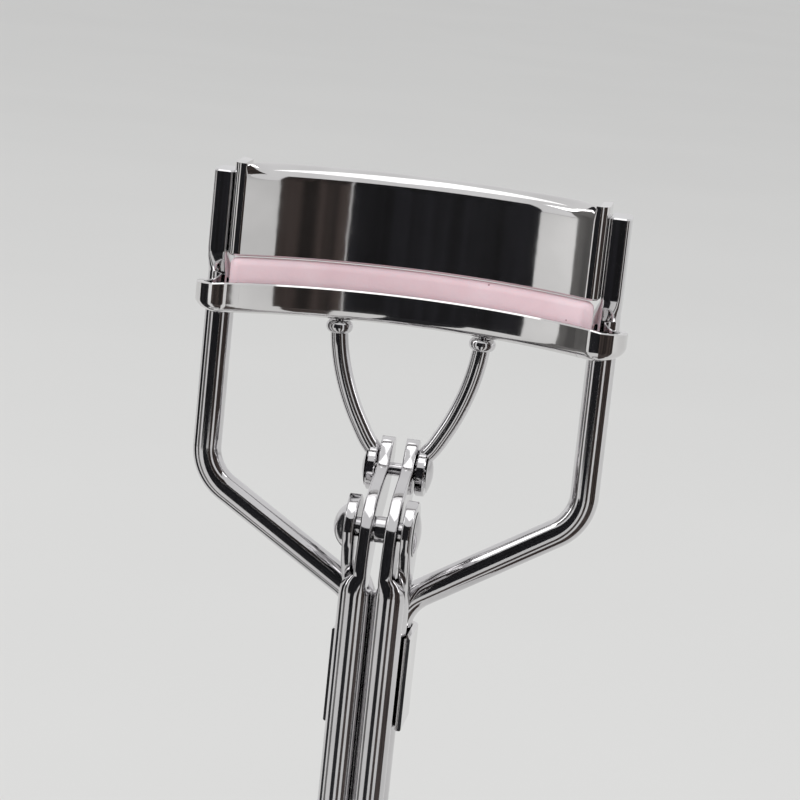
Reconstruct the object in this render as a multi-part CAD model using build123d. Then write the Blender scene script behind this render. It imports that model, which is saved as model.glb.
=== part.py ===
from build123d import *
import os
from math import asin, cos, degrees, radians, sin, sqrt, tan

# Eyelash curler. X is the width of the jaws, Y the depth (the squeezed lever is at -Y), Z is up.
# The origin is under the pivot, level with the bottom of the two finger rings. Closed is the rest pose.

# ---- driving dimensions, mm ----
pivot_z = 73.4            # height of the main pivot above the bottom of the rings
handle_wire_r = 1.65      # wire of both handles
wire_pair_gap = 0.1       # between the two legs of one handle
handle_gap = 0.6          # between lever and rear handle when squeezed shut
ring_r = 12.5             # finger ring, to the middle of the wire
ring_turn = 300           # degrees that the wire follows the ring

rail_wire_r = 1.45        # wire of the two guide rails
rail_x = 19.4             # rail centre from the middle
rail_top_z = 33.5         # heights below are above the pivot
rail_corner_z = 2.3
rail_bend_r = 5.0         # at both bends of a rail
slant_angle = 32          # degrees from level, of the run from a rail in to the handle
tail_length = 12.16       # below the lower corner of a rail
rail_flat_thickness = 2.1
rail_flat_depth = 4.0
rail_flat_rise = 1.5      # where the flat begins, above the closed lower jaw
rail_flat_round = 0.7     # edge of the flat
seat_gap = 0.05           # between pieces that lie against each other in one body

jaw_radius = 35.0         # plan curve of both jaws
jaw_front_y = 7.6         # middle of the jaws, behind the pivot
band_half_width = 17.5
band_thickness = 1.0
band_bottom_z = 25.2
band_height = 9.3
lip_radius = 1.6
sheet = 0.7               # sheet of the lower jaw
channel_z = 19.5
channel_height = 3.2
channel_depth = 3.4
channel_half_width = 18.6
eye_wall = 0.85
eye_height = 2.7
eye_clearance = 0.15
eye_lift = 0.1            # eye above the channel's bottom
lug_overlap = 0.4         # how far the eye's lug reaches into the channel
bore_margin = 4.0         # how far the bore's cutter stands out, each end

pad_clearance = 0.05
pad_round = 0.57          # crown edge
pad_lift = 1.7            # pad bottom above the channel's bottom
closed_gap = 0.15         # pad to upper jaw when closed

crank_r = 8.96            # pivot to link pin
crank_angle = 60          # degrees from straight up, leaning back
pivot_pin_r = 1.0
pivot_clearance = 0.05
pivot_collar_r = 1.35
pivot_head_r = 2.3
pivot_head_height = 1.3
pivot_foot_height = 0.5
flat_inner_x = 0.6
flat_thickness = 1.35
lever_eye_r = 2.8
crank_eye_r = 2.0
crank_tip_length = 2.2
crank_tip_r = 1.4
crank_tip_angle = 15      # degrees from straight up
cheek_gap = 0.35
cheek_thickness = 1.2
cheek_eye_r = 3.2
shoulder_drop = 5.4       # the round wire of the lever ends this far below the pivot
cheek_drop = 6.4
shoulder_r = 1.7          # rounded end of a round leg, where its flat begins
cut_margin = 1.0          # how far a cutter stands out of what it cuts

link_pin_r = 0.7
link_head_r = 2.0
link_head_height = 0.5
link_wire_r = 0.9
tab_r = 2.4
tab_thickness = 0.9
tab_gap = 0.15
slot_slack = 0.56         # the open pivot's room, along Y
slot_side = 0.16          # and across it
stud_x = 7.3
stud_shank_r = 0.5
stud_hole_r = 0.68
stud_head_r = 0.85
stud_head_height = 0.55
collar_r = 1.35
collar_height = 1.3
stud_gap = 0.15
collar_round = 0.55
weld = 0.3                # overlap of a link's wire, collar and shank
link_foot_rise = 1.44     # the wire's end above the rivet
link_start = (-0.2, 0.02, -1)   # direction of the wire below the collar
head_clearance = 0.2

clip_sheet = 0.6
clip_length = 9.8
clip_front_y = 0.5
clip_bend_r = 1.0

# ---- places worked out from them ----
leg_x = handle_wire_r + wire_pair_gap / 2
leg_y = handle_wire_r + handle_gap / 2
frame_y = leg_y + handle_wire_r + rail_wire_r + seat_gap
tail_x = max(leg_x + handle_wire_r - rail_wire_r, rail_wire_r + seat_gap)
tail_top_z = pivot_z + rail_corner_z - (rail_x - tail_x) * tan(radians(slant_angle))
tail_end_z = tail_top_z - tail_length
ring_z = ring_r + handle_wire_r
ring_y = leg_y + ring_r
arc_centre_y = jaw_front_y - jaw_radius
cheek_x = flat_inner_x + flat_thickness + cheek_gap
crank_y = crank_r * sin(radians(crank_angle))
crank_z = pivot_z + crank_r * cos(radians(crank_angle))
tab_x = flat_inner_x + flat_thickness + tab_gap
stud_y = arc_centre_y + sqrt(jaw_radius**2 - stud_x**2)
eye_hole_r = rail_wire_r + eye_clearance
eye_r = eye_hole_r + eye_wall
channel_bottom = pivot_z + channel_z
channel_top = channel_bottom + channel_height
band_bottom = pivot_z + band_bottom_z
band_top = band_bottom + band_height
pad_width = channel_depth - 2 * sheet - 2 * pad_clearance


def slab(profile, x, thickness):
    """Extrude a profile drawn in Y and Z from x outwards along +X."""
    placed = Plane(origin=(x, 0, 0), x_dir=(0, 1, 0), z_dir=(1, 0, 0)) * profile
    return extrude(placed, thickness, dir=(1, 0, 0))


def disc(y, z, radius):
    return Pos(y, z) * Circle(radius)


def rod(x_from, x_to, y, z, radius):
    """A round bar along X."""
    return slab(disc(y, z, radius), x_from, x_to - x_from)


def tapered(y1, z1, r1, y2, z2, r2):
    """The flat outline round two discs in Y and Z, joined by their tangents."""
    edges = disc(y1, z1, r1).edges() + disc(y2, z2, r2).edges()
    return make_hull(edges)


def wire(path, radius):
    return sweep(Plane(path @ 0, z_dir=path % 0) * Circle(radius), path=path)


def both_sides(piece):
    return piece + mirror(piece, Plane.YZ)


def ball_at(point, radius):
    return Pos(*point) * Sphere(radius)


# ---- handles: one wire, down, round the finger ring and up again ----
def ring_handle(top_z):
    """The round part of the rear handle, with both legs up to top_z and rounded off there."""
    pitch = 2 * leg_x * 360 / ring_turn
    start = Plane(origin=(-leg_x, ring_y, ring_z), x_dir=(0, -1, 0), z_dir=(1, 0, 0))
    ring = start * Helix(pitch, 2 * leg_x, ring_r)
    turned = radians(180 + ring_turn)
    heading = Vector(0, -sin(turned), cos(turned))
    ring_end = ring @ 1
    bend_r = (ring_end.Y - leg_y) / (1 - heading.Z)
    bend_end = Vector(leg_x, leg_y, ring_end.Z - bend_r * heading.Y)
    path = Wire([
        Line((-leg_x, leg_y, top_z), ring @ 0),
        ring.edge(),
        TangentArc(ring_end, bend_end, tangent=heading),
        Line(bend_end, (leg_x, leg_y, top_z))])
    section = Plane(path @ 0, z_dir=path % 0) * Circle(handle_wire_r)
    body = sweep(section, path=path, transition=Transition.TRANSFORMED)
    for x in (-leg_x, leg_x):
        body += Pos(x, leg_y, top_z) * Sphere(shoulder_r)
    return body


def neck(side, drop):
    """Outline of the flat between the pivot and a leg at +Y or -Y whose round part ends at drop."""
    length = drop + handle_wire_r
    return Pos(side * leg_y, pivot_z - length / 2) * Rectangle(2 * handle_wire_r, length)


def rear_handle():
    top_z = pivot_z - cheek_drop
    eye = disc(0, pivot_z, cheek_eye_r)
    cheek = slab(eye, cheek_x, cheek_thickness) + slab(neck(1, cheek_drop), cheek_x, cheek_thickness)
    cheek -= rod(0, cheek_x + cheek_thickness + cut_margin, 0, pivot_z, pivot_pin_r)
    return ring_handle(top_z) + both_sides(cheek)


def lever_handle():
    top_z = pivot_z - shoulder_drop
    round_part = mirror(ring_handle(top_z), Plane.XZ)
    arm = tapered(0, pivot_z, lever_eye_r, crank_y, crank_z, crank_eye_r)
    tip_turn = radians(crank_tip_angle)
    tip_y = crank_y + crank_tip_length * sin(tip_turn)
    tip_z = crank_z + crank_tip_length * cos(tip_turn)
    tip = tapered(crank_y, crank_z, crank_eye_r, tip_y, tip_z, crank_tip_r)
    flat = slab(neck(-1, shoulder_drop), flat_inner_x, flat_thickness)
    flat += slab(arm, flat_inner_x, flat_thickness)
    flat += slab(tip, flat_inner_x, flat_thickness)
    reach = flat_inner_x + flat_thickness + cut_margin
    flat -= rod(0, reach, 0, pivot_z, pivot_pin_r + pivot_clearance)
    flat -= rod(0, reach, crank_y, crank_z, link_pin_r)
    return round_part + both_sides(flat)


# ---- rivets ----
def dome(x, y, z, radius, height, outwards):
    """A rivet head that stands on the plane at x."""
    ball_r = (radius**2 + height**2) / (2 * height)
    latitude = degrees(asin((ball_r - height) / ball_r))
    cap = Sphere(ball_r, arc_size1=latitude, align=(Align.CENTER, Align.CENTER, Align.MIN))
    return Plane(origin=(x, y, z), x_dir=(0, 1, 0), z_dir=(outwards, 0, 0)) * cap


def pivot_rivet():
    outer = cheek_x + cheek_thickness
    head = dome(-outer, 0, pivot_z, pivot_head_r, pivot_head_height, -1)
    foot = dome(outer, 0, pivot_z, pivot_head_r, pivot_foot_height, 1)
    return rod(-outer, outer, 0, pivot_z, pivot_pin_r) + head + foot


def pivot_collar():
    half = flat_inner_x - pivot_clearance
    sleeve = rod(-half, half, 0, pivot_z, pivot_collar_r)
    return sleeve - rod(-half - cut_margin, half + cut_margin, 0, pivot_z, pivot_pin_r)


def link_rivet():
    outer = tab_x + tab_thickness + tab_gap
    pin = rod(-outer, outer, crank_y, crank_z, link_pin_r)
    heads = both_sides(dome(outer, crank_y, crank_z, link_head_r, link_head_height, 1))
    return pin + heads


# ---- frame: rails, upper jaw and the clip that holds the rails to the rear handle ----
def rail():
    """The +X rail: flattened top, straight run, slant and tail."""
    flat_from = channel_top + rail_flat_rise
    path = FilletPolyline(
        (rail_x, frame_y, flat_from),
        (rail_x, frame_y, pivot_z + rail_corner_z),
        (tail_x, frame_y, tail_top_z),
        (tail_x, frame_y, tail_end_z),
        radius=rail_bend_r)
    flat_top = pivot_z + rail_top_z
    flat_x = rail_x + rail_wire_r - rail_flat_thickness / 2
    flat = Pos(flat_x, frame_y, (flat_from + flat_top) / 2) * Box(
        rail_flat_thickness, rail_flat_depth, flat_top - flat_from)
    return wire(path, rail_wire_r) + fillet(flat.edges().filter_by(Axis.Z), rail_flat_round)


def band_ring(middle_r, thickness):
    """A flat ring in plan, centred on the jaws' curve."""
    ring = Circle(middle_r + thickness / 2) - Circle(middle_r - thickness / 2)
    return Pos(0, arc_centre_y) * ring


def between(half_width, z_from, z_to):
    """The block that keeps the front stretch of a ring, out to half_width each side."""
    depth = jaw_radius + channel_depth
    return Pos(0, arc_centre_y + depth / 2, (z_from + z_to) / 2) * Box(
        2 * half_width, depth, z_to - z_from)


def upper_jaw():
    lip_start = band_top - lip_radius
    wall = Pos(0, 0, band_bottom) * extrude(band_ring(jaw_radius, band_thickness), lip_start - band_bottom)
    inner = jaw_radius - band_thickness / 2
    outline = Pos(inner + lip_radius, lip_start) * (
        Circle(lip_radius) - Circle(lip_radius - band_thickness))
    quarter = outline & (Pos(inner + lip_radius / 2, lip_start + lip_radius / 2) *
                         Rectangle(lip_radius, lip_radius))
    lip = Pos(0, arc_centre_y, 0) * revolve(Plane.XZ * quarter, Axis.Z)
    band = (wall + lip) & between(band_half_width, band_bottom, band_top)

    flange_x = rail_x + rail_wire_r - rail_flat_thickness - seat_gap - band_thickness
    end_y = arc_centre_y + sqrt(jaw_radius**2 - band_half_width**2)
    front = end_y - band_thickness / 2
    back = frame_y + rail_flat_depth / 2
    top = pivot_z + rail_top_z
    flange = Pos(flange_x + band_thickness / 2, (front + back) / 2, (band_bottom + top) / 2) * Box(
        band_thickness, back - front, top - band_bottom)
    join = Pos((band_half_width + flange_x) / 2, end_y, (band_bottom + lip_start) / 2) * Box(
        flange_x - band_half_width + band_thickness, band_thickness, lip_start - band_bottom)
    return band + both_sides(flange + join)


def joint_clip():
    inner_x = max(leg_x + handle_wire_r, tail_x + rail_wire_r) + seat_gap
    back_y = frame_y + rail_wire_r + seat_gap
    outer = Rectangle(2 * (inner_x + clip_sheet), back_y + clip_sheet - clip_front_y)
    inner_depth = back_y - clip_front_y + cut_margin
    inner = Rectangle(2 * inner_x, inner_depth)
    middle_y = (back_y + clip_sheet + clip_front_y) / 2
    corners = fillet(outer.vertices().group_by(Axis.Y)[-1], clip_bend_r)
    profile = Pos(0, middle_y) * corners - Pos(0, back_y - inner_depth / 2) * inner
    return Pos(0, 0, tail_end_z + seat_gap) * extrude(profile, clip_length)


# ---- lower jaw: a channel with an eye round each rail ----
def rail_bore(radius):
    length = channel_height + 2 * bore_margin
    hole = Pos(rail_x, frame_y, channel_bottom - bore_margin) * Cylinder(
        radius, length, align=(Align.CENTER, Align.CENTER, Align.MIN))
    return both_sides(hole)


def lower_jaw():
    outside = Pos(0, 0, channel_bottom) * extrude(band_ring(jaw_radius, channel_depth), channel_height)
    groove = Pos(0, 0, channel_bottom + sheet) * extrude(
        band_ring(jaw_radius, channel_depth - 2 * sheet), channel_height)
    inside = between(channel_half_width, channel_bottom, channel_top)

    end_y = arc_centre_y + sqrt(jaw_radius**2 - channel_half_width**2)
    lug_r = channel_depth / 4
    lug_y = end_y - channel_depth / 2 + lug_r
    lug = make_hull((Pos(rail_x, frame_y) * Circle(eye_r)).edges()
                    + (Pos(channel_half_width - lug_overlap, lug_y) * Circle(lug_r)).edges())
    eye = Pos(0, 0, channel_bottom + eye_lift) * extrude(lug, eye_height, dir=(0, 0, 1))
    jaw = (outside & inside) + both_sides(eye) - (groove & inside) - rail_bore(eye_hole_r)
    for x in (-stud_x, stud_x):
        jaw -= Pos(x, stud_y, channel_bottom) * Cylinder(stud_hole_r, 3 * sheet)
    return jaw


def lash_pad():
    """Pink elastic strip with a rounded crown, seated in the channel."""
    bottom = channel_bottom + pad_lift
    top = band_bottom - closed_gap
    ring = Pos(0, 0, bottom) * extrude(band_ring(jaw_radius, pad_width), top - bottom)
    crown = ring.edges().filter_by(GeomType.CIRCLE).group_by(Axis.Z)[-1]
    ring = fillet(crown, pad_round)
    pad = ring & between(channel_half_width - pad_clearance, bottom, top)
    return pad - rail_bore(eye_hole_r + pad_clearance)


# ---- links: from the lever's pin up to the lower jaw ----
def link():
    """The +X link: slotted tab, curved wire, collar and riveted stud."""
    stud_z = channel_bottom - stud_gap
    tab_middle = tab_x + tab_thickness / 2
    collar_bottom = stud_z - collar_height
    top = Vector(stud_x, stud_y, collar_bottom + weld)
    foot = Vector(tab_middle, crank_y, crank_z + link_foot_rise)
    path = TangentArc(top, foot, tangent=link_start)
    arm = wire(path, link_wire_r) + ball_at(foot, link_wire_r)
    tab = slab(disc(crank_y, crank_z, tab_r), tab_x, tab_thickness)
    room = 2 * band_top
    arm &= Pos(tab_x + room / 2, 0, 0) * Box(room, room, 2 * room)
    arm -= rod(tab_x + tab_thickness, stud_x, crank_y, crank_z, link_head_r + slot_slack + head_clearance)
    slot = Pos(crank_y, crank_z) * SlotOverall(
        2 * (link_pin_r + slot_slack), 2 * (link_pin_r + slot_side))
    collar = Pos(stud_x, stud_y, collar_bottom + collar_height / 2) * Cylinder(collar_r, collar_height)
    collar = fillet(collar.edges().filter_by(GeomType.CIRCLE), collar_round)
    head_z = channel_bottom + sheet + stud_gap
    shank = Pos(stud_x, stud_y, stud_z - weld) * Cylinder(
        stud_shank_r, head_z - stud_z + 2 * weld, align=(Align.CENTER, Align.CENTER, Align.MIN))
    head = Pos(stud_x, stud_y, head_z) * Cylinder(
        stud_head_r, stud_head_height, align=(Align.CENTER, Align.CENTER, Align.MIN))
    body = arm + tab + collar + shank + head
    return body - slab(slot, tab_x - cut_margin, tab_thickness + 2 * cut_margin)


right_rail = rail()
right_link = link()
nodes = {
    "rear_handle": rear_handle(),
    "rail_right": right_rail,
    "rail_left": mirror(right_rail, Plane.YZ),
    "upper_jaw": upper_jaw(),
    "joint_clip": joint_clip(),
    "pivot_rivet": pivot_rivet(),
    "pivot_collar": pivot_collar(),
    "lever_handle": lever_handle(),
    "link_rivet": link_rivet(),
    "link_right": right_link,
    "link_left": mirror(right_link, Plane.YZ),
    "lower_jaw": lower_jaw(),
    "lash_pad": lash_pad(),
}

os.makedirs("parts", exist_ok=True)
for name, shape in nodes.items():
    export_step(shape, f"parts/{name}.step")
print(f"pivot z {pivot_z:.3f}; link joint y {stud_y:.3f} z {channel_bottom + sheet / 2:.3f}")
print(f"link pin y {crank_y:.3f} z {crank_z:.3f}; rear ring y {ring_y:.3f} z {ring_z:.3f}")
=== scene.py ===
import bmesh
import bpy
from math import asin, cos, pi, radians, sin, sqrt, tan
from mathutils import Matrix, Vector


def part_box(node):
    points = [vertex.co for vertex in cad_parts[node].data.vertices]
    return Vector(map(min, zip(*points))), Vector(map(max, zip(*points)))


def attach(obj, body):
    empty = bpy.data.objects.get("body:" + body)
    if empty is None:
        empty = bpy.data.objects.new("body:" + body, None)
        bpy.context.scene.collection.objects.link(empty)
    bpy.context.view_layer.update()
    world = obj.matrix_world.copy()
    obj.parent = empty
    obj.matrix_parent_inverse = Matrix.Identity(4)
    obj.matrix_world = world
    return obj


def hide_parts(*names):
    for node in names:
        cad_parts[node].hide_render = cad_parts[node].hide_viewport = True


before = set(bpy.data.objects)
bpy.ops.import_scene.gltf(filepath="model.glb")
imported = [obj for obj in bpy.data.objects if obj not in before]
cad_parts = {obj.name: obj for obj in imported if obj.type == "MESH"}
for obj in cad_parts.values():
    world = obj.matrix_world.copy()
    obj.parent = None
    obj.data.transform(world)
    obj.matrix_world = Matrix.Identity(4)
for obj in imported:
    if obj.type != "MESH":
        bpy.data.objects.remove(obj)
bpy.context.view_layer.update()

# ---- the camera ----
# Stands a little to the right and above, and is tipped so that the curler leans over to the right.
# It looks at the jaws from the squeezing side. The finger rings are below its view.
mm = 0.001
camera_turn = radians(7.5)
camera_rise = radians(12)
camera_tip = radians(6)
camera_away = 280 * mm
aim_left, aim_down = 0.9 * mm, 7.0 * mm   # middle of the view, from the middle of the lower jaw
lens = 126
rails_low, rails_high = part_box("rail_right")
channel_low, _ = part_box("lower_jaw")
rail_y = (rails_low.y + rails_high.y) / 2
level_right = Vector((cos(camera_turn), sin(camera_turn), 0))
back = Vector((sin(camera_turn) * cos(camera_rise), -cos(camera_turn) * cos(camera_rise), sin(camera_rise)))
level_up = back.cross(level_right)
right = cos(camera_tip) * level_right + sin(camera_tip) * level_up
up = back.cross(right)
aim = Vector((0, rail_y, channel_low.z)) - aim_left * right - aim_down * up
camera = bpy.data.objects.new("camera", bpy.data.cameras.new("camera"))
camera.data.lens = lens
camera.data.sensor_width = 36
camera.data.clip_start = 0.01
axes = Matrix((right, up, back)).transposed()
camera.matrix_world = Matrix.Translation(aim + camera_away * back) @ axes.to_4x4()
bpy.context.collection.objects.link(camera)
bpy.context.scene.camera = camera
bpy.context.scene.view_settings.view_transform = "Standard"

# ---- the table and the light round it ----
# A pale matt table top that runs on out of sight, and even light from a pale room.
# Soft lamps stand at both sides and above. Dark cloths in front give the chrome something to mirror.


def plain(name, colour, roughness, depth, mottle_and_fold_shade_scale=(9, 9, 9)):
    """A matt surface. depth is how much darker its mottle is; on the cloths the stretched mottle is painted
    fold shade, stripes darker where the hollows of hanging cloth would be in shade.
    """
    m = bpy.data.materials.new(name)
    m.use_nodes = True
    nodes, links = m.node_tree.nodes, m.node_tree.links
    where = nodes.new("ShaderNodeTexCoord")
    stretch = nodes.new("ShaderNodeMapping")
    stretch.inputs["Scale"].default_value = mottle_and_fold_shade_scale
    noise = nodes.new("ShaderNodeTexNoise")
    noise.inputs["Scale"].default_value = 1
    links.new(where.outputs["Object"], stretch.inputs["Vector"])
    links.new(stretch.outputs["Vector"], noise.inputs["Vector"])
    ramp = nodes.new("ShaderNodeValToRGB")
    ramp.color_ramp.elements[0].position = 0.35
    ramp.color_ramp.elements[1].position = 0.65
    ramp.color_ramp.elements[0].color = (*[(1 - depth) * c for c in colour], 1)
    ramp.color_ramp.elements[1].color = (*colour, 1)
    links.new(noise.outputs["Fac"], ramp.inputs["Fac"])
    shader = nodes["Principled BSDF"]
    links.new(ramp.outputs["Color"], shader.inputs["Base Color"])
    shader.inputs["Roughness"].default_value = roughness
    return m


def cloth(name, turns, edges, material):
    """A curved strip of cloth in front of the curler, that only shiny things show. turns are degrees
    from straight in front, to the +X side. edges are its two edges: how far out, and how high."""
    mesh = bpy.data.meshes.new(name)
    steps = 16
    points, faces = [], []
    for k in range(steps + 1):
        a = radians(turns[0] + (turns[1] - turns[0]) * k / steps)
        points += [(away * sin(a), -away * cos(a), height) for away, height in edges]
        if k:
            faces.append((2 * k - 2, 2 * k, 2 * k + 1, 2 * k - 1))
    mesh.from_pydata(points, [], faces)
    mesh.materials.append(material)
    o = bpy.data.objects.new(name, mesh)
    bpy.context.collection.objects.link(o)
    o.visible_camera = False
    o.visible_diffuse = False
    o.visible_shadow = False


def lamp(name, place, size, power, target):
    """A soft box lamp turned towards the target."""
    light = bpy.data.lights.new(name, "AREA")
    light.shape = "RECTANGLE"
    light.size, light.size_y = size
    light.energy = power
    o = bpy.data.objects.new(name, light)
    o.location = place
    o.rotation_euler = (Vector(target) - Vector(place)).to_track_quat("-Z", "Y").to_euler()
    bpy.context.collection.objects.link(o)


floor_reach = 6
floor_mesh = bpy.data.meshes.new("floor")
floor_corners = [(x * floor_reach, y * floor_reach, 0) for x, y in ((-1, -1), (1, -1), (1, 1), (-1, 1))]
floor_mesh.from_pydata(floor_corners, [], [(0, 1, 2, 3)])
floor_mesh.materials.append(plain("table_top", (0.70, 0.70, 0.69), 0.9, 0.015))
floor = bpy.data.objects.new("floor", floor_mesh)
bpy.context.collection.objects.link(floor)

world = bpy.data.worlds.new("room")
world.use_nodes = True
world.node_tree.nodes["Background"].inputs["Color"].default_value = (0.97, 0.97, 0.975, 1)
world.node_tree.nodes["Background"].inputs["Strength"].default_value = 0.8
bpy.context.scene.world = world

# The cloths are flat strips; their stretched dark stripes are painted fold shade, standing in for the shaded
# hollows of hanging cloth.
painted_fold_shade_scale = (45, 45, 3)
black_cloth = plain("black_cloth", (0.014, 0.014, 0.018), 1.0, 0.85, painted_fold_shade_scale)
brown_cloth = plain("brown_cloth", (0.075, 0.056, 0.050), 1.0, 0.8, painted_fold_shade_scale)
grey_cloth = plain("grey_cloth", (0.20, 0.195, 0.19), 1.0, 0.5, painted_fold_shade_scale)
cloth_away, cloth_near = 0.24, 0.036
cloth_lift, cloth_foot, cloth_top = 0.001, 0.022, 0.26
upright_edges = ((cloth_away, cloth_foot), (cloth_away, cloth_top))
low_edges = ((cloth_away, cloth_lift), (cloth_away, cloth_foot))
flat_edges = ((cloth_away, cloth_lift), (cloth_near, cloth_lift))
for name, turns, low_turns, material in (
        ("middle", (-44, 14), (-26, 0), black_cloth), ("right", (14.5, 36), (17, 34), brown_cloth),
        ("far_right", (50, 96), (52, 96), brown_cloth), ("left", (-76, -57), (-72, -56), grey_cloth),
        ("far_left", (-112, -84), (-112, -86), black_cloth)):
    cloth("cloth_" + name, turns, upright_edges, material)
    cloth("cloth_low_" + name, low_turns, low_edges, material)
    cloth("cloth_floor_" + name, low_turns, flat_edges, material)
lamp("lamp_left", (-0.75, -0.25, 0.45), (0.35, 0.7), 1.6, (0, 0, 0.09))
lamp("lamp_right", (0.80, 0.05, 0.50), (0.30, 0.7), 1.6, (0, 0, 0.09))
lamp("lamp_top", (-0.1, -0.1, 1.1), (0.8, 0.6), 1.4, (0, 0, 0.05))

# ---- rear handle ----
# One bright-plated steel wire: down one leg, once round the finger ring and up the other leg.
# Above the legs it is pressed flat into two cheeks, which the pivot rivet passes through.
wire_r = 1.65
leg_x = 1.70
leg_y = 1.95
ring_r = 12.5
ring_y = leg_y + ring_r
ring_z = ring_r + wire_r
ring_turn = radians(300)
bend_turn = ring_turn - pi          # back from the ring to the leg
leg_middle_z = 40
pivot_z = 73.4
same_point = 1e-7                   # metres
crease_angle = radians(42)
broad_face_weight = 80


def chrome(name, deep, pale, smooth, dull, mark_scale, mark_depth):
    """Bright plating: slight colour drift, patches of wiping haze and faint marks under the plate."""
    m = bpy.data.materials.new(name)
    m.use_nodes = True
    nodes, links = m.node_tree.nodes, m.node_tree.links
    where = nodes.new("ShaderNodeTexCoord")
    shader = nodes["Principled BSDF"]
    shader.inputs["Metallic"].default_value = 1

    cloud = nodes.new("ShaderNodeTexNoise")
    cloud.inputs["Scale"].default_value = 140
    cloud.inputs["Detail"].default_value = 4
    links.new(where.outputs["Object"], cloud.inputs["Vector"])
    tint = nodes.new("ShaderNodeValToRGB")
    tint.color_ramp.elements[0].position = 0.3
    tint.color_ramp.elements[0].color = (*deep, 1)
    tint.color_ramp.elements[1].position = 0.7
    tint.color_ramp.elements[1].color = (*pale, 1)
    links.new(cloud.outputs["Fac"], tint.inputs["Fac"])
    links.new(tint.outputs["Color"], shader.inputs["Base Color"])

    haze = nodes.new("ShaderNodeMapRange")
    haze.inputs["From Min"].default_value = 0.3
    haze.inputs["From Max"].default_value = 0.75
    haze.inputs["To Min"].default_value = smooth
    haze.inputs["To Max"].default_value = dull
    links.new(cloud.outputs["Fac"], haze.inputs["Value"])
    links.new(haze.outputs["Result"], shader.inputs["Roughness"])

    stretch = nodes.new("ShaderNodeMapping")
    stretch.inputs["Scale"].default_value = mark_scale
    marks = nodes.new("ShaderNodeTexNoise")
    marks.inputs["Scale"].default_value = 1
    marks.inputs["Detail"].default_value = 3
    links.new(where.outputs["Object"], stretch.inputs["Vector"])
    links.new(stretch.outputs["Vector"], marks.inputs["Vector"])
    bump = nodes.new("ShaderNodeBump")
    bump.inputs["Strength"].default_value = 1
    bump.inputs["Distance"].default_value = mark_depth
    links.new(marks.outputs["Fac"], bump.inputs["Height"])
    links.new(bump.outputs["Normal"], shader.inputs["Normal"])
    return m


chrome_wire = chrome("chrome_wire", (0.60, 0.59, 0.60), (0.72, 0.71, 0.72), 0.05, 0.11, (500, 500, 60), 8e-6)


def mesh_piece(name, points, faces, material, slot_name):
    """One piece from points in millimetres, smooth except along edges sharper than crease_angle."""
    mesh = bpy.data.meshes.new(name)
    mesh.from_pydata([Vector(p) * mm for p in points], [], faces)
    work = bmesh.new()
    work.from_mesh(mesh)
    bmesh.ops.remove_doubles(work, verts=work.verts, dist=same_point)
    bmesh.ops.recalc_face_normals(work, faces=work.faces)
    work.to_mesh(mesh)
    work.free()
    mesh.shade_smooth()
    mesh.set_sharp_from_angle(angle=crease_angle)
    mesh.materials.append(material)
    o = bpy.data.objects.new(name, mesh)
    bpy.context.collection.objects.link(o)
    even = o.modifiers.new("even_gloss", "WEIGHTED_NORMAL")
    even.keep_sharp = True
    even.weight = broad_face_weight
    return o


def tube_faces(rings, around):
    """Quads between neighbouring rings of points, and a cap at each end."""
    faces = []
    for i in range(rings - 1):
        for k in range(around):
            a, b = i * around + k, i * around + (k + 1) % around
            faces.append((a, b, b + around, a + around))
    faces.append(tuple(range(around)))
    faces.append(tuple((rings - 1) * around + k for k in range(around)))
    return faces


def round_points(around):
    """Cosine and sine of each step round a circle."""
    return [(cos(2 * pi * k / around), sin(2 * pi * k / around)) for k in range(around)]


def turns_to(angle, steps):
    """The angles from 0 up to angle in even steps."""
    return [angle * k / steps for k in range(steps + 1)]


def drawn(stations, across, around=32):
    """Skin of a wire or strip. A station is its middle, half size along across, half size square
    to it, and how square its section is (2 is round)."""
    points = []
    middles = [Vector(s[0]) for s in stations]
    for i, (_, half_a, half_b, square) in enumerate(stations):
        ahead = middles[min(i + 1, len(middles) - 1)] - middles[max(i - 1, 0)]
        ahead.normalize()
        side = (Vector(across) - Vector(across).dot(ahead) * ahead).normalized()
        other = ahead.cross(side)
        for c, s in round_points(around):
            a = abs(c) ** (2 / square) * (1 if c > 0 else -1)
            b = abs(s) ** (2 / square) * (1 if s > 0 else -1)
            points.append(middles[i] + half_a * a * side + half_b * b * other)
    return points, tube_faces(len(stations), around)


def ring_line(side):
    """Middle line of one finger ring and its two bends, from the -X leg to the +X leg."""
    line = []
    ring_steps = 96
    for k, a in enumerate(turns_to(ring_turn, ring_steps)):
        line.append((leg_x * (2 * k / ring_steps - 1), side * (ring_y + ring_r * cos(pi + a)),
                     ring_z + ring_r * sin(pi + a)))
    end_y = ring_y + ring_r * cos(pi + ring_turn)
    end_z = ring_z + ring_r * sin(pi + ring_turn)
    bend_r = (end_y - leg_y) / (1 - cos(bend_turn))
    bend_z = end_z + bend_r * sin(bend_turn)
    for a in turns_to(bend_turn, 32)[1:]:
        line.append((leg_x, side * (leg_y + bend_r + bend_r * cos(ring_turn - a)),
                     bend_z + bend_r * sin(ring_turn - a)))
    return line


def mirrored(stations):
    """The same stations on the other side of the middle plane."""
    return [((-s[0][0], s[0][1], s[0][2]), *s[1:]) for s in stations]


def handle_skin(side, flat):
    """A whole handle. flat lists the +X leg's pressed stations from the bottom up."""
    low = [((leg_x, side * leg_y, leg_middle_z), wire_r, wire_r, 2)]
    middle = [(p, wire_r, wire_r, 2) for p in ring_line(side)]
    return drawn(mirrored(flat[::-1]) + mirrored(low) + middle + low + flat, (1, 0, 0))


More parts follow.
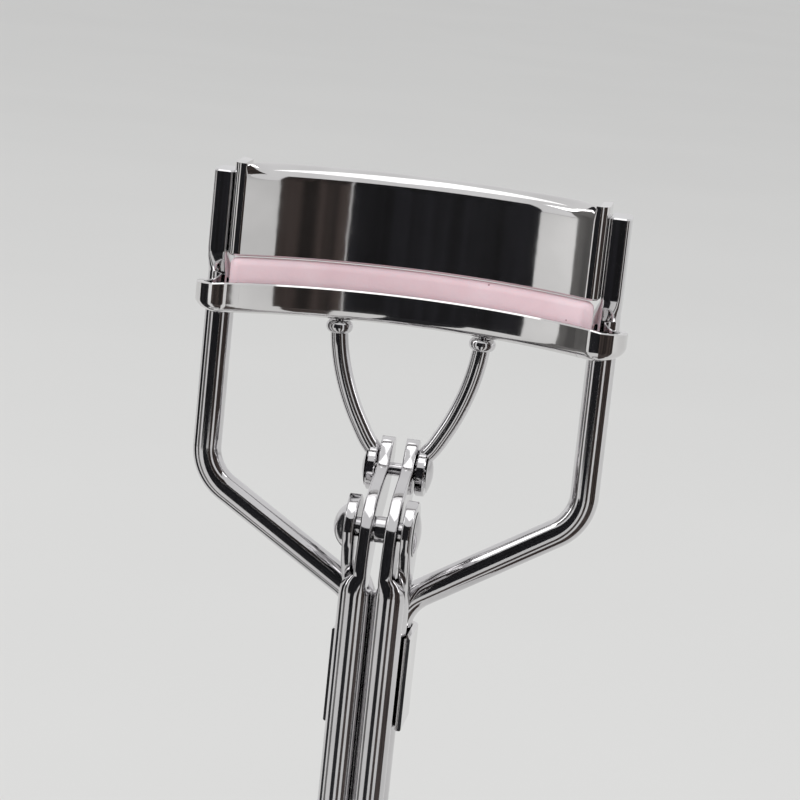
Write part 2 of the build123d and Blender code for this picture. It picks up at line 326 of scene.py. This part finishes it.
cheek_x, cheek_half, cheek_r = 2.9, 0.6, 3.2
cheek_flat = [((1.70, 1.95, 63.5), 1.65, 1.65, 2), ((1.70, 1.95, 65.0), 1.65, 1.65, 2),
              ((1.78, 1.93, 66.2), 1.58, 1.72, 2.3), ((2.15, 1.75, 67.4), 1.22, 1.95, 3),
              ((2.62, 1.35, 68.6), 0.82, 2.3, 4.5), ((2.86, 0.85, 69.8), 0.62, 2.62, 6),
              ((2.90, 0.35, 71.0), cheek_half, 2.82, 7)]
eye_foot, eye_rise, eye_steps = -1.2, 4.38, 12
for a in turns_to(pi / 2, eye_steps):
    height = eye_foot + eye_rise * sin(a)
    half = sqrt(cheek_r**2 - height**2)
    cheek_flat.append(((cheek_x, 0.12 * (1 - a / (pi / 2)), pivot_z + height), cheek_half, half, 7))

rear_handle = mesh_piece("rear_handle_wire", *handle_skin(1, cheek_flat), chrome_wire, "chrome_wire")
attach(rear_handle, "frame")
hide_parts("rear_handle")

# ---- guide rails ----
# Two bright-plated steel wires that the lower jaw slides on. Each is pressed flat at the top,
# bent in below the jaws, and runs down beside the rear handle, where the clip holds it.
rail_x = 19.4
rail_r = 1.45
rail_mid_y = rail_y / mm
rail_bend_r = 5.0
rail_flat_x, rail_flat_half_x, rail_flat_half_y = 19.8, 1.05, 2.0
rail_top_z = rails_high.z / mm
round_top_z, corner_z = 96.4, 75.7
slant_angle = radians(32)
tail_x, tail_end_z = 1.9, rails_low.z / mm
tail_corner_z = corner_z - (rail_x - tail_x) * tan(slant_angle)


def flipped(skin):
    """The same skin on the other side of the middle plane."""
    return [Vector((-p[0], p[1], p[2])) for p in skin[0]], skin[1]


def rounded(corners, bend_r, steps=14):
    """A line through the corners, each one turned with the same bend radius."""
    line = [Vector(corners[0])]
    for before, corner, after in zip(corners, corners[1:], corners[2:]):
        into = (Vector(corner) - Vector(before)).normalized()
        out = (Vector(after) - Vector(corner)).normalized()
        turn = into.angle(out)
        start = Vector(corner) - into * bend_r * tan(turn / 2)
        inward = (out - into * cos(turn)).normalized()
        for a in turns_to(turn, steps):
            line.append(start + inward * bend_r * (1 - cos(a)) + into * bend_r * sin(a))
    line.append(Vector(corners[-1]))
    return line


rail_line = rounded([(rail_x, rail_mid_y, round_top_z), (rail_x, rail_mid_y, corner_z),
                     (tail_x, rail_mid_y, tail_corner_z), (tail_x, rail_mid_y, tail_end_z)], rail_bend_r)
rail_stations = [((rail_flat_x, rail_mid_y, rail_top_z), 1.86, 0.92, 6),
                 ((rail_flat_x, rail_mid_y, rail_top_z - 0.14), rail_flat_half_y, rail_flat_half_x, 6),
                 ((rail_flat_x, rail_mid_y, 99.0), rail_flat_half_y, rail_flat_half_x, 6),
                 ((19.74, rail_mid_y, 98.2), 1.93, 1.12, 4.5),
                 ((19.58, rail_mid_y, 97.4), 1.72, 1.28, 3),
                 ((19.44, rail_mid_y, 96.8), 1.52, 1.42, 2.2)]
rail_stations += [(p, rail_r, rail_r, 2) for p in rail_line[:-1]]
rail_stations += [((tail_x, rail_mid_y, tail_end_z + 0.25), rail_r, rail_r, 2),
                  ((tail_x, rail_mid_y, tail_end_z), 1.2, 1.2, 2)]
rail_skin = drawn(rail_stations, (0, 1, 0))
for name, skin in (("rail_right", rail_skin), ("rail_left", flipped(rail_skin))):
    rail = mesh_piece(name + "_wire", *skin, chrome_wire, "chrome_wire")
    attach(rail, "frame")
    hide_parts(name)

# ---- upper jaw ----
# A strip of bright-plated steel sheet, curved to the eyelid and rolled back along the top edge.
# Its ends are folded back and held against the flattened tops of the rails.
jaw_r = 35.0
arc_y = 7.6 - jaw_r
band_bottom, band_top = 98.6, 107.9
lip_r = 1.6
band_half = 0.5
edge_round, edge_drop = 0.2, 0.1
band_end = asin(17.5 / jaw_r)
flange_x, flange_back = 18.2, 7.05
chrome_sheet = chrome("chrome_sheet", (0.66, 0.65, 0.65), (0.78, 0.77, 0.77), 0.035, 0.08,
                      (160, 160, 160), 1.2e-5)


def band_section(lip):
    """Outline in (outwards from the curve's centre, up). lip is 1 where the edge is rolled back."""
    start = band_top - lip_r
    under_r = lip_r - 2 * band_half
    foot = band_bottom + edge_round
    outline = [(-band_half, foot), (-band_half, 101), (-band_half, 104)]
    for a in turns_to(pi / 2, 10):
        outline.append((-band_half + lip * lip_r * (1 - cos(a)), start + lip_r * sin(a)))
    for a in turns_to(pi / 2, 10)[::-1]:
        rise = (lip * under_r + (1 - lip) * (lip_r - edge_drop)) * sin(a)
        outline.append((band_half + lip * under_r * (1 - cos(a)), start + rise))
    outline += [(band_half, 104), (band_half, 101), (band_half, foot),
                (band_half - edge_round, band_bottom), (edge_round - band_half, band_bottom)]
    return outline


def strip_skin(line, outlines):
    """Skin of a folded strip: an upright outline carried along a line in plan."""
    points = []
    for i, p in enumerate(line):
        ahead = Vector(line[min(i + 1, len(line) - 1)]) - Vector(line[max(i - 1, 0)])
        ahead.normalize()
        out = Vector((-ahead.y, ahead.x))
        for x, z in outlines[i]:
            points.append((p[0] + out.x * x, p[1] + out.y * x, z))
    return points, tube_faces(len(line), len(outlines[0]))


def jaw_line(end, half_steps):
    """The jaws' curve in plan, out to the angle end on each side."""
    angles = [end * (k / half_steps - 1) for k in range(2 * half_steps + 1)]
    return [(jaw_r * sin(a), arc_y + jaw_r * cos(a)) for a in angles]


band_line = jaw_line(band_end, 60)
lip_start, lip_growth = 0.12, 0.11
band_lips = [min(1, lip_start + lip_growth * min(k, len(band_line) - 1 - k)) for k in range(len(band_line))]
end_x, end_y = band_line[-1]
corner_r = (flange_x - end_x) / (1 + sin(band_end))
corner_x, corner_y = end_x + corner_r * sin(band_end), end_y + corner_r * cos(band_end)
flange_line = []
for a in turns_to(pi / 2 + band_end, 14)[1:]:
    heading = a - band_end
    flange_line.append((corner_x + corner_r * sin(heading), corner_y - corner_r * cos(heading)))
flange_line += [(flange_x, corner_y + 0.4), (flange_x, flange_back - 0.5), (flange_x, flange_back)]
whole_line = [(-x, y) for x, y in flange_line[::-1]] + band_line + flange_line
flange_lips = [0] * len(flange_line)
upper_jaw = mesh_piece("upper_jaw_band", *strip_skin(whole_line, [
    band_section(lip) for lip in flange_lips + band_lips + flange_lips]), chrome_sheet, "chrome_sheet")
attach(upper_jaw, "frame")
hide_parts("upper_jaw")

# ---- clip at the foot of the rails ----
# A piece of bright-plated steel sheet, folded round the rear handle's legs and the tails of the rails.
# It is open at the front, and squeezed shut on the wires.
clip_bottom, clip_top = 52.65, 62.45
clip_x, clip_front, clip_back, clip_bend_r = 3.7, 0.5, 6.9, 0.7
clip_half, clip_edge = 0.3, 0.12
clip_bends = rounded([(-clip_x, 1.4, 0), (-clip_x, clip_back, 0), (clip_x, clip_back, 0), (clip_x, 1.4, 0)],
                     clip_bend_r, 8)
clip_line = ([(-clip_x, clip_front), (-clip_x, 1.2)] + [tuple(p)[:2] for p in clip_bends]
             + [(clip_x, 1.2), (clip_x, clip_front)])
clip_inset = clip_half - clip_edge
clip_outline = [(-clip_half, clip_bottom + clip_edge), (-clip_half, clip_top - clip_edge),
                (-clip_inset, clip_top), (clip_inset, clip_top),
                (clip_half, clip_top - clip_edge), (clip_half, clip_bottom + clip_edge),
                (clip_inset, clip_bottom), (-clip_inset, clip_bottom)]
clip = mesh_piece("joint_clip_sheet", *strip_skin(clip_line, [clip_outline] * len(clip_line)),
                  chrome_sheet, "chrome_sheet")
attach(clip, "frame")
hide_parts("joint_clip")

# ---- pivot rivet and its collar ----
# A solid steel rivet with a high domed head on one side and a low closed head on the other.
# A short turned collar on it keeps the lever's two flats apart.


def turned(x_and_r, y, z, around=40):
    """Skin of a part turned about a line along X. x_and_r runs along its outline."""
    points = []
    for x, r in x_and_r:
        points += [(x, y + r * c, z + r * s) for c, s in round_points(around)]
    return points, tube_faces(len(x_and_r), around)


def dome_outline(foot_x, head_r, height, outwards):
    """A rivet head from its rim to its crown."""
    ball = (head_r**2 + height**2) / (2 * height)
    start = asin(head_r / ball)
    outline = [(foot_x, head_r - rim_inset), (foot_x + outwards * rim_height, head_r)]
    for a in turns_to(start, 14)[-2::-1]:
        outline.append((foot_x + outwards * (height - ball + ball * cos(a)), max(ball * sin(a), crown_tip_r)))
    return outline


def rivet_outline(half_length, shank_r, head_r, left_height, right_height):
    """A rivet from the crown of its -X head to the crown of its +X head."""
    left = dome_outline(-half_length, head_r, left_height, -1)
    right = dome_outline(half_length, head_r, right_height, 1)
    return left[::-1] + [(-half_length, shank_r), (half_length, shank_r)] + right


chrome_rivet = chrome("chrome_rivet", (0.58, 0.57, 0.58), (0.70, 0.69, 0.70), 0.08, 0.18,
                      (900, 900, 900), 1e-5)
rim_inset, rim_height, crown_tip_r = 0.12, 0.05, 0.02
cheek_out, pivot_shank_r, pivot_head_r = 3.5, 1.0, 2.3
pivot_outline = rivet_outline(cheek_out, pivot_shank_r, pivot_head_r, 1.3, 0.5)
pivot_rivet = mesh_piece("pivot_rivet_steel", *turned(pivot_outline, 0, pivot_z),
                         chrome_rivet, "chrome_rivet")
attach(pivot_rivet, "frame")
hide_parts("pivot_rivet")

collar_outline = [(-0.55, 1.02), (-0.55, 1.27), (-0.47, 1.35), (0.47, 1.35), (0.55, 1.27), (0.55, 1.02)]
pivot_collar = mesh_piece("pivot_collar_steel", *turned(collar_outline, 0, pivot_z),
                          chrome_rivet, "chrome_rivet")
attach(pivot_collar, "frame")
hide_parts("pivot_collar")

# ---- lever ----
# The second wire handle, the same round part as the rear one, on the near side.
# Its ends are pressed into upright flats that lean back over the pivot and stick up past the links.
flat_x, flat_half = 1.275, 0.675
lever_flat = [((1.70, -1.95, 65.5), 1.65, 1.65, 2), ((1.70, -1.95, 67.2), 1.65, 1.65, 2),
              ((1.69, -1.95, 67.75), 1.55, 1.60, 2.2), ((1.60, -1.92, 68.1), 1.30, 1.60, 2.8),
              ((1.42, -1.85, 68.35), 0.95, 1.65, 4), ((1.30, -1.75, 68.55), 0.72, 1.75, 6),
              ((flat_x, -1.55, 69.1), flat_half, 1.92, 7), ((flat_x, -1.2, 70.2), flat_half, 2.15, 7)]
for y, z, half in (
        (-0.75, 71.3, 2.4), (-0.3, 72.4, 2.65), (0.35, 73.4, 2.75), (1.3, 74.3, 2.7), (2.5, 75.0, 2.55),
        (3.8, 75.6, 2.4), (5.1, 76.2, 2.25), (6.3, 76.95, 2.1), (7.2, 77.9, 2.0), (7.75, 79.0, 1.82),
        (8.05, 79.8, 1.62), (8.22, 80.4, 1.35), (8.32, 80.85, 0.95), (8.38, 81.1, 0.45)):
    lever_flat.append(((flat_x, y, z), flat_half, half, 7))
lever = mesh_piece("lever_handle_wire", *handle_skin(-1, lever_flat), chrome_wire, "chrome_wire")
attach(lever, "lever")
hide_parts("lever_handle")

# ---- link rivet ----
# A thin steel rivet through the lever's flats and the tabs of both links.
# It is closed with a low round head on each side, loose enough for the links to turn.
crank_y, crank_z = 7.760, 77.880
link_head_x, link_shank_r, link_head_r, link_head_height = 3.15, 0.7, 2.0, 0.5
link_rivet_outline = rivet_outline(link_head_x, link_shank_r, link_head_r, link_head_height, link_head_height)
link_rivet = mesh_piece("link_rivet_steel", *turned(link_rivet_outline, crank_y, crank_z),
                        chrome_rivet, "chrome_rivet")
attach(link_rivet, "lever")
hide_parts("link_rivet")

# ---- links ----
# Two bright-plated steel wires, each pressed into a slotted tab at the rivet and curving out and up.
# A collar under the lower jaw and a thin stud closed over inside it hold each one to the jaw.
stud_x, stud_y = 7.3, 6.83
collar_low, collar_half_height = 91.45, 0.65
link_r = 0.9
link_line = [Vector(p) for p in (
    (stud_x, stud_y, 91.9), (7.05, 6.85, 90.0), (6.62, 6.95, 88.0), (6.0, 7.08, 86.0),
    (5.2, 7.24, 84.0), (4.3, 7.42, 82.2), (3.45, 7.58, 80.7), (2.62, 7.72, 79.6))]
link_stations = []
for i in range(len(link_line) - 1):
    a, b = link_line[i], link_line[i + 1]
    before, after = link_line[max(i - 1, 0)], link_line[min(i + 2, len(link_line) - 1)]
    for t in turns_to(1, 6)[:-1]:
        bent = 0.5 * ((2 * a) + (b - before) * t + (2 * before - 5 * a + 4 * b - after) * t**2
                      + (3 * a - before - 3 * b + after) * t**3)
        link_stations.append((bent, link_r, link_r, 2))
link_stations += [((2.57, 7.74, 79.2), 1.1, 0.62, 3), ((2.55, 7.76, 78.6), 1.4, 0.45, 5)]
link_wire_skin = drawn(link_stations, (0, 1, 0), 24)
tab_in, tab_out, tab_r = 2.1, 3.0, 2.4
tab_half_slot, tab_slot_r, tab_edge = 0.4, 0.86, 0.12
slot_end = 1e-6                     # nearer than this to the slot's middle, a point isn't moved along it


def joined(*skins):
    """Several skins as one."""
    points, faces = [], []
    for more_points, more_faces in skins:
        start = len(points)
        points += list(more_points)
        faces += [tuple(start + k for k in f) for f in more_faces]
    return points, faces


def tab_skin():
    """A round tab with a short slot through it and softened edges."""
    around = 48
    points, faces = [], []
    for x, rim_r in ((tab_in, tab_r - tab_edge), (tab_in + tab_edge, tab_r), (tab_out - tab_edge, tab_r),
                     (tab_out, tab_r - tab_edge)):
        points += [(x, crank_y + rim_r * c, crank_z + rim_r * s) for c, s in round_points(around)]
    for x in (tab_out, tab_in):
        for c, s in round_points(around):
            shift = tab_half_slot if c > slot_end else -tab_half_slot if c < -slot_end else 0
            points.append((x, crank_y + shift + tab_slot_r * c, crank_z + tab_slot_r * s))
    loops = len(points) // around
    for i in range(loops):
        here, there = i * around, (i + 1) % loops * around
        for k in range(around):
            ahead = (k + 1) % around
            faces.append((here + k, here + ahead, there + ahead, there + k))
    return points, faces


def upright(z_and_r, x, y, around=40):
    """Skin of a part turned about an upright line."""
    points = []
    for z, r in z_and_r:
        points += [(x + r * c, y + r * s, z) for c, s in round_points(around)]
    return points, tube_faces(len(z_and_r), around)


collar_neck_r, collar_bulge = 0.88, 0.47
collar = [(collar_low + collar_half_height * (1 - cos(a)), collar_neck_r + collar_bulge * sin(a))
          for a in turns_to(pi, 14)]
stud = [(92.6, 0.5), (93.72, 0.5), (93.75, 0.80), (93.9, 0.85), (94.15, 0.72), (94.28, 0.4), (94.3, 0.05)]
link_skin = joined(link_wire_skin, tab_skin(), upright(collar, stud_x, stud_y),
                   upright(stud, stud_x, stud_y, 24))
for name, skin in (("link_right", link_skin), ("link_left", flipped(link_skin))):
    link = mesh_piece(name + "_wire", *skin, chrome_wire, "chrome_wire")
    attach(link, "links")
    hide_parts(name)

# ---- lower jaw ----
# A channel pressed from bright-plated steel sheet, on the same curve as the upper jaw.
# Its ends are drawn out and curled round the rails, so that it slides up and down on them.
channel_bottom, channel_top = 92.9, 96.1
channel_half, skin_t = 1.7, 0.7
channel_end = asin(17.9 / jaw_r)
press_r, rim, wall_z = 1.0, 0.15, 95.0
inner_r, inner_x = press_r - skin_t, channel_half - skin_t
bend_x, bend_z = channel_half - press_r, channel_bottom + press_r
outer_bend = [(bend_x + press_r * sin(a), bend_z - press_r * cos(a)) for a in turns_to(pi / 2, 8)]
inner_bend = [(bend_x + inner_r * cos(a), bend_z - inner_r * sin(a)) for a in turns_to(pi / 2, 5)]
half_outline = outer_bend + [(channel_half, wall_z), (channel_half, channel_top - rim),
                             (channel_half - rim, channel_top), (inner_x + rim, channel_top),
                             (inner_x, channel_top - rim)] + inner_bend
channel_outline = half_outline + [(-x, z) for x, z in half_outline[::-1]]
channel_line = jaw_line(channel_end, 48)
channel_skin = strip_skin(channel_line, [channel_outline] * len(channel_line))

eye_mid_r, curl_rim, curl_wall_z = 2.03, 0.12, 94.6
curl_start, curl_length = 4, 7       # steps along curl_line before the section changes, and while it does
front_r = jaw_r - channel_half + skin_t / 2
curl_line = [(front_r * sin(a), arc_y + front_r * cos(a)) for a in
             (radians(turn) for turn in (30.2, 31.0, 31.8, 32.6, 33.4))]
curl_line += [(19.30, 0.45), (20.05, 0.95), (20.70, 1.75), (21.15, 2.75), (21.38, 3.9)]
curl_line += [(rail_x + eye_mid_r * cos(radians(turn)), rail_mid_y + eye_mid_r * sin(radians(turn)))
              for turn in range(-8, 176, 8)]


def curl_section(part):
    """Upright section of the drawn-out end. part runs from 0 at the channel to 1 at the rail."""
    low, high = channel_bottom + 0.02 + 0.35 * part, channel_top - 0.02 - 0.75 * part
    half, bend_r, last = skin_t / 2, press_r - 0.25 * part, radians(88 - 48 * part)
    middle_x, middle_z, inside_r = bend_r - half, low + bend_r, bend_r - skin_t
    section = [(-half, high - curl_rim), (-half, curl_wall_z)]
    section += [(middle_x - bend_r * cos(a), middle_z - bend_r * sin(a)) for a in turns_to(last, 8)]
    section += [(middle_x - inside_r * cos(a), middle_z - inside_r * sin(a)) for a in turns_to(last, 8)[::-1]]
    section += [(half, curl_wall_z), (half, high - curl_rim)]
    return section + [(half - curl_rim, high), (curl_rim - half, high)]


curl_parts = [min(1, max(0, (k - curl_start) / curl_length)) for k in range(len(curl_line))]
curl_skin = strip_skin(curl_line, [curl_section(part) for part in curl_parts])
lower_jaw = mesh_piece("lower_jaw_channel", *joined(channel_skin, curl_skin, flipped(curl_skin)),
                       chrome_sheet, "chrome_sheet")
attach(lower_jaw, "jaw")
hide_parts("lower_jaw")

# ---- lash strip ----
# A solid strip of pale pink elastic, moulded with a rounded crown and pushed into the channel.
# It is matt and a little waxy, with a very few specks of dust on it.
pad_bottom, pad_top, pad_half = 94.6, 98.45, 0.95
pad_end, pad_half_steps = asin(18.1 / jaw_r), 64
crown_height = 0.75
round_from, end_droop, end_width = 0.96, 0.10, 0.06   # how the two ends are rounded off


def pad_outline(rise, wide):
    """Section of the strip, with its height and width reduced to those shares."""
    half = pad_half * wide
    shoulder = pad_bottom + (pad_top - pad_bottom) * rise - crown_height
    crown = [(half * cos(a), shoulder + crown_height * sin(a)) for a in turns_to(pi, 18)]
    return [(-half, pad_bottom), (half, pad_bottom)] + crown


pad_line, pad_outlines = jaw_line(pad_end, pad_half_steps), []
for k in range(len(pad_line)):
    near_end = max(0, (abs(k / pad_half_steps - 1) - round_from) / (1 - round_from))
    pad_outlines.append(pad_outline(1 - end_droop * near_end**2, sqrt(max(1 - near_end**2, end_width))))
pink = bpy.data.materials.new("pink_strip")
pink.use_nodes = True
pink_nodes, pink_links = pink.node_tree.nodes, pink.node_tree.links
pink_shader = pink_nodes["Principled BSDF"]
pink_shader.inputs["Roughness"].default_value = 0.5
pink_shader.inputs["Subsurface Weight"].default_value = 0.25
pink_shader.inputs["Subsurface Radius"].default_value = (1, 0.5, 0.45)
pink_shader.inputs["Subsurface Scale"].default_value = 0.0012
pink_where = pink_nodes.new("ShaderNodeTexCoord")
pink_cloud = pink_nodes.new("ShaderNodeTexNoise")
pink_cloud.inputs["Scale"].default_value = 260
pink_cloud.inputs["Detail"].default_value = 5
pink_links.new(pink_where.outputs["Object"], pink_cloud.inputs["Vector"])
pink_tint = pink_nodes.new("ShaderNodeValToRGB")
pink_tint.color_ramp.elements[0].position = 0.3
pink_tint.color_ramp.elements[0].color = (0.86, 0.63, 0.68, 1)
pink_tint.color_ramp.elements[1].position = 0.7
pink_tint.color_ramp.elements[1].color = (0.91, 0.70, 0.75, 1)
pink_links.new(pink_cloud.outputs["Fac"], pink_tint.inputs["Fac"])
specks = pink_nodes.new("ShaderNodeTexVoronoi")
specks.inputs["Scale"].default_value = 420
pink_links.new(pink_where.outputs["Object"], specks.inputs["Vector"])
speck_size = pink_nodes.new("ShaderNodeValToRGB")
speck_size.color_ramp.elements[0].position = 0.035
speck_size.color_ramp.elements[0].color = (0.45, 0.25, 0.28, 1)
speck_size.color_ramp.elements[1].position = 0.06
speck_size.color_ramp.elements[1].color = (1, 1, 1, 1)
pink_links.new(specks.outputs["Distance"], speck_size.inputs["Fac"])
dusted = pink_nodes.new("ShaderNodeMix")
dusted.data_type = "RGBA"
dusted.blend_type = "MULTIPLY"
dusted.inputs["Factor"].default_value = 1
pink_links.new(pink_tint.outputs["Color"], dusted.inputs["A"])
pink_links.new(speck_size.outputs["Color"], dusted.inputs["B"])
pink_links.new(dusted.outputs["Result"], pink_shader.inputs["Base Color"])
pink_grain = pink_nodes.new("ShaderNodeTexNoise")
pink_grain.inputs["Scale"].default_value = 2600
pink_bump = pink_nodes.new("ShaderNodeBump")
pink_bump.inputs["Distance"].default_value = 2e-5
pink_links.new(pink_where.outputs["Object"], pink_grain.inputs["Vector"])
pink_links.new(pink_grain.outputs["Fac"], pink_bump.inputs["Height"])
pink_links.new(pink_bump.outputs["Normal"], pink_shader.inputs["Normal"])
lash_strip = mesh_piece("lash_strip", *strip_skin(pad_line, pad_outlines), pink, "pink_pad")
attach(lash_strip, "jaw")
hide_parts("lash_pad")
